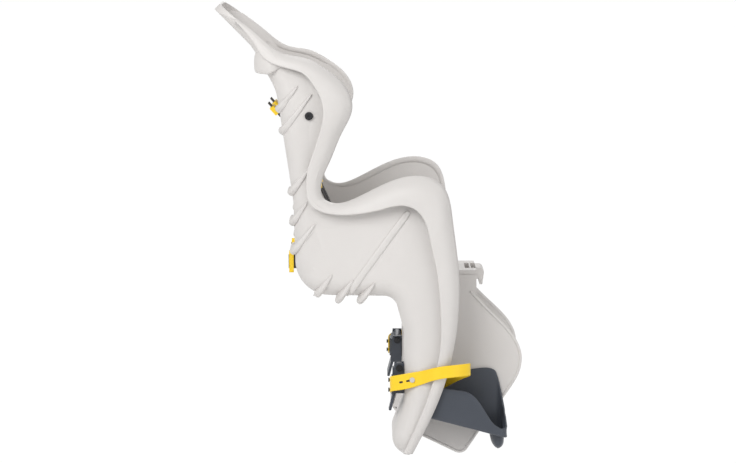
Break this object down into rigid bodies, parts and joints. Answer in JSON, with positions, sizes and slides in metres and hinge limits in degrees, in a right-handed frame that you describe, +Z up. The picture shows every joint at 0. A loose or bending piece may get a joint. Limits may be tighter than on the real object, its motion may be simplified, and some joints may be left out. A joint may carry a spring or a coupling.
{
  "type": "child bicycle seat",
  "caption": "Rear-mounted child bicycle seat: moulded shell with headrest, leg troughs and wheel guards, sliding footrests with straps, and a webbing harness with a buckle.",
  "frame": {"origin": "centre of the four carrier bolt holes, on the flat underside of the seat pan", "axes": "+X forwards, the way the child faces; +Y to the child's left; +Z up"},
  "size_m": [0.5325, 0.3978, 0.79],
  "materials": {
    "shell_plastic": "fine moulded grain, pale warm grey",
    "dark_plastic": "satin blue grey",
    "yellow_plastic": "satin yellow",
    "yellow_rubber": "smooth soft yellow",
    "pale_plastic": "smooth",
    "webbing": "ribbed woven webbing",
    "black_steel": "black oxide",
    "bright_steel": "zinc plated"
  },
  "bodies": {
    "seat": {"seat_shell": "shell_plastic", "side_screw_right": "black_steel", "side_screw_left": "black_steel", "barrel_nut_right": "black_steel", "barrel_nut_left": "black_steel", "shoulder_strap_right": "webbing", "shoulder_strap_left": "webbing", "upper_slide_right": "yellow_plastic", "upper_slide_left": "yellow_plastic", "lap_strap_right": "webbing", "lap_strap_left": "webbing", "lower_slide_right": "yellow_plastic", "lower_slide_left": "yellow_plastic", "crotch_strap": "webbing", "crotch_retainer": "dark_plastic", "buckle_rear": "dark_plastic", "buckle_front": "dark_plastic", "buckle_tongue_right": "dark_plastic", "buckle_tongue_left": "dark_plastic"},
    "foot_right": {"footrest_right": "dark_plastic", "clip_bracket_right": "dark_plastic", "lever_pin_right": "black_steel", "clip_screw_right": "bright_steel", "foot_strap_right": "yellow_rubber", "strap_stud_right": "pale_plastic"},
    "foot_left": {"footrest_left": "dark_plastic", "clip_bracket_left": "dark_plastic", "lever_pin_left": "black_steel", "clip_screw_left": "bright_steel", "foot_strap_left": "yellow_rubber", "strap_stud_left": "pale_plastic"},
    "lever_right": {"release_lever_right": "dark_plastic"},
    "lever_left": {"release_lever_left": "dark_plastic"},
    "button": {"buckle_button": "yellow_plastic"},
    "adjuster_right": {"strap_adjuster_right": "yellow_plastic", "adjuster_roller_right": "dark_plastic"},
    "adjuster_left": {"strap_adjuster_left": "yellow_plastic", "adjuster_roller_left": "dark_plastic"}
  },
  "joints": [
    {"name": "footrest_slide_right", "type": "slide", "parent": "seat", "child": "foot_right", "axis": [0, 0.1483, 0.9889], "range_m": [0, 0.045]},
    {"name": "footrest_slide_left", "type": "slide", "parent": "seat", "child": "foot_left", "axis": [0, -0.1483, 0.9889], "range_m": [0, 0.045]},
    {"name": "lever_hinge_right", "type": "hinge", "parent": "foot_right", "child": "lever_right", "pos_m": [0.082, -0.12123, -0.1256], "axis": [0, 0.9889, -0.1483], "range_deg": [0, 25], "stiffness_Nm_per_rad": 0.2, "springref_deg": -17.19},
    {"name": "lever_hinge_left", "type": "hinge", "parent": "foot_left", "child": "lever_left", "pos_m": [0.082, 0.12123, -0.1256], "axis": [0, 0.9889, 0.1483], "range_deg": [0, 25], "stiffness_Nm_per_rad": 0.2, "springref_deg": -17.19},
    {"name": "buckle_press", "type": "slide", "parent": "seat", "child": "button", "axis": [-0.915, 0, -0.4035], "range_m": [0, 0.0025], "stiffness_N_per_m": 600, "springref_m": -0.003},
    {"name": "adjuster_slide_right", "type": "slide", "parent": "seat", "child": "adjuster_right", "axis": [0.4219, 0.1158, -0.8992], "range_m": [-0.03, 0.03]},
    {"name": "adjuster_slide_left", "type": "slide", "parent": "seat", "child": "adjuster_left", "axis": [0.4219, -0.1158, -0.8992], "range_m": [-0.03, 0.03]}
  ]
}
